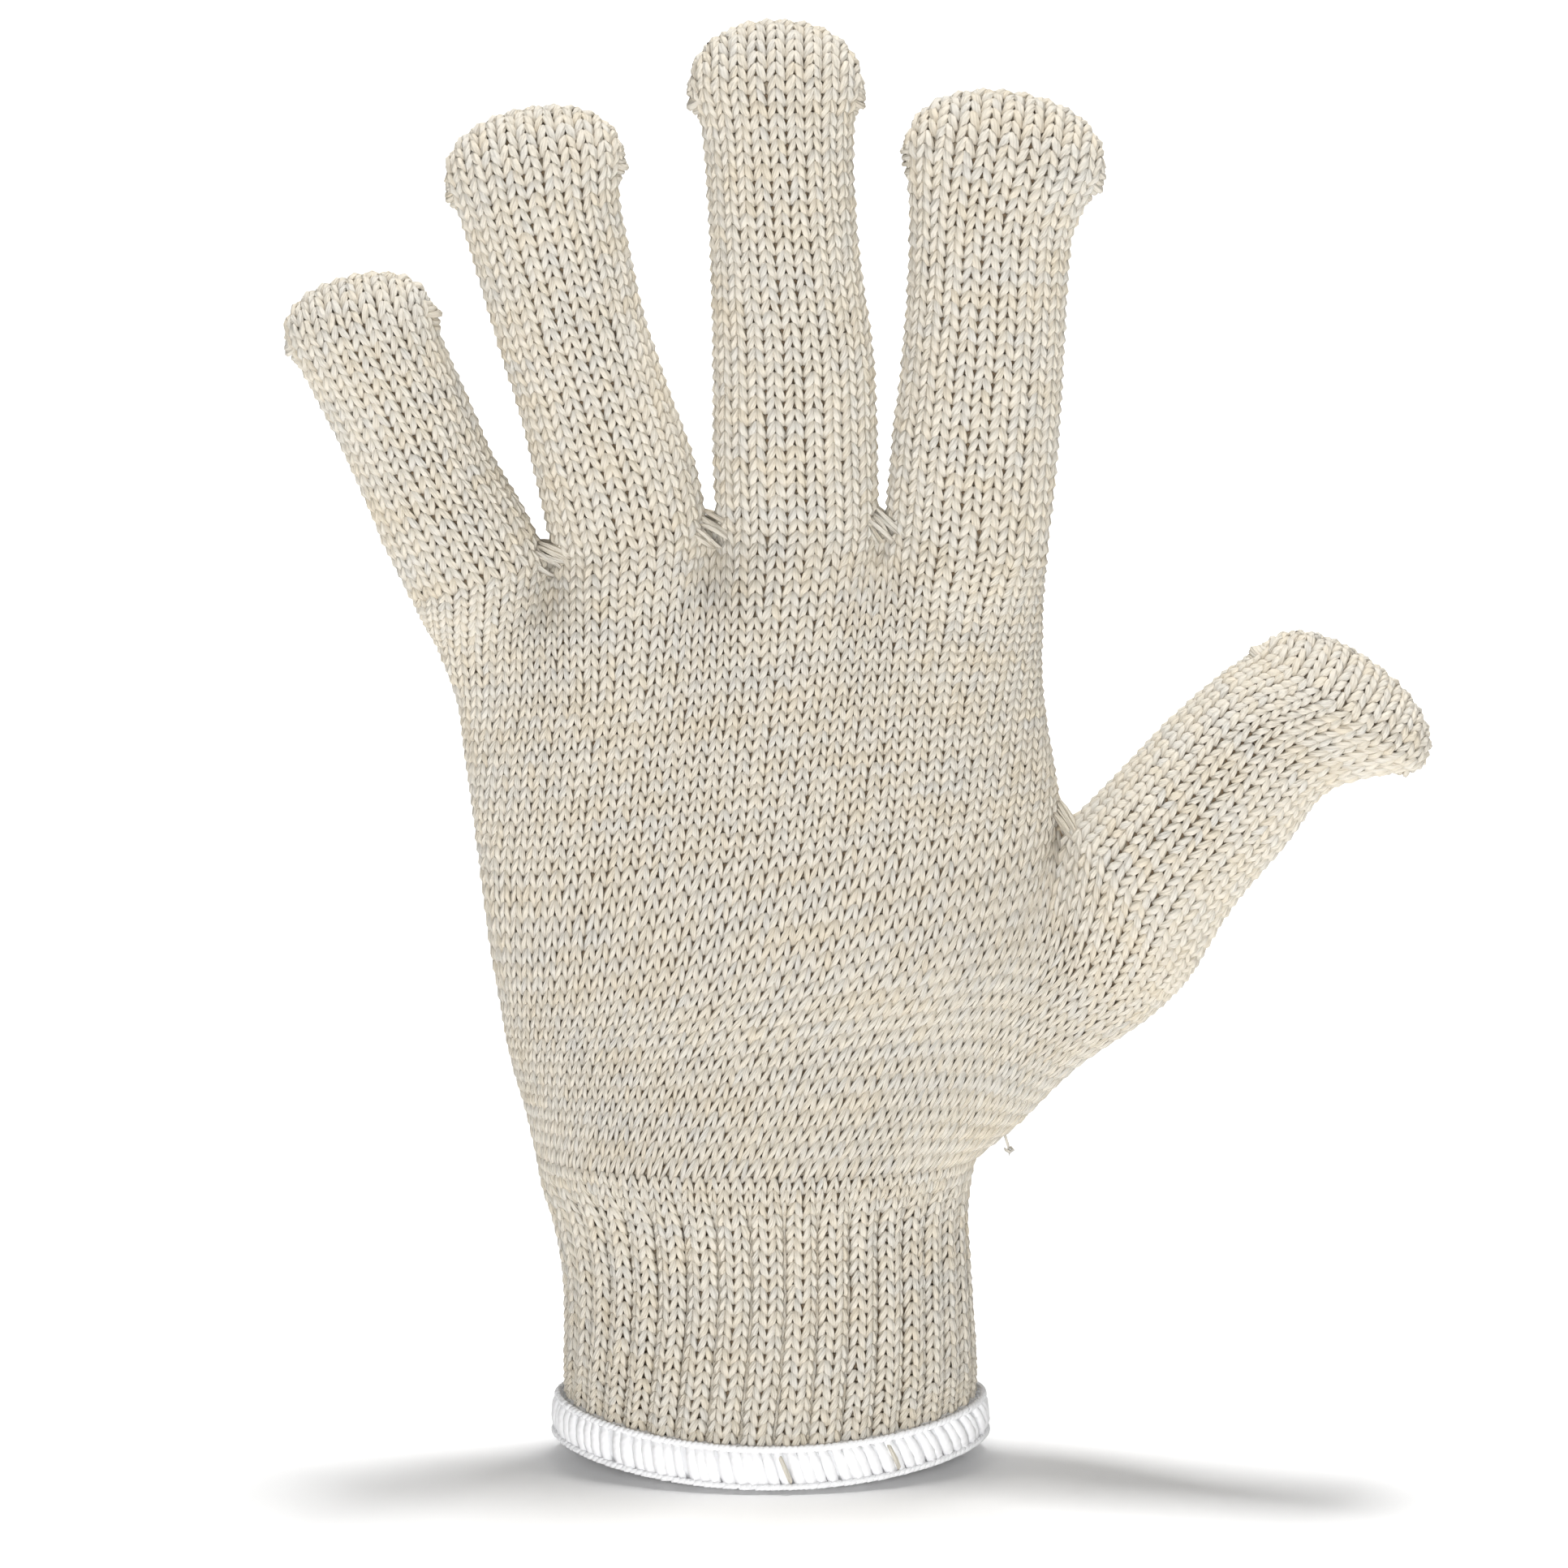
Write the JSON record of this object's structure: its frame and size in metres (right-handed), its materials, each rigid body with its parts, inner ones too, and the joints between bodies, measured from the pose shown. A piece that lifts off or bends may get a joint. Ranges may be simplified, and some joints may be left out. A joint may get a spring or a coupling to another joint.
{
  "type": "string knit glove",
  "caption": "Seamless knitted work glove in its worn shape, with closed finger stalls, a ribbed elastic cuff and a sewn edge.",
  "frame": {"origin": "centre of the cuff's mouth, level with the lowest edge of the hem", "axes": "+Z from the cuff to the fingertips, +X to the thumb, -Y to the side shown in the picture"},
  "size_m": [0.1924, 0.047, 0.25],
  "materials": {
    "cotton_knit": "matte natural cotton yarn, heathered cream and beige",
    "white_thread": "matte white overlock thread"
  },
  "bodies": {
    "root": {"palm": "cotton_knit", "little_finger": "cotton_knit", "ring_finger": "cotton_knit", "middle_finger": "cotton_knit", "index_finger": "cotton_knit", "thumb": "cotton_knit", "cuff": "cotton_knit", "hem": "white_thread"}
  },
  "joints": []
}
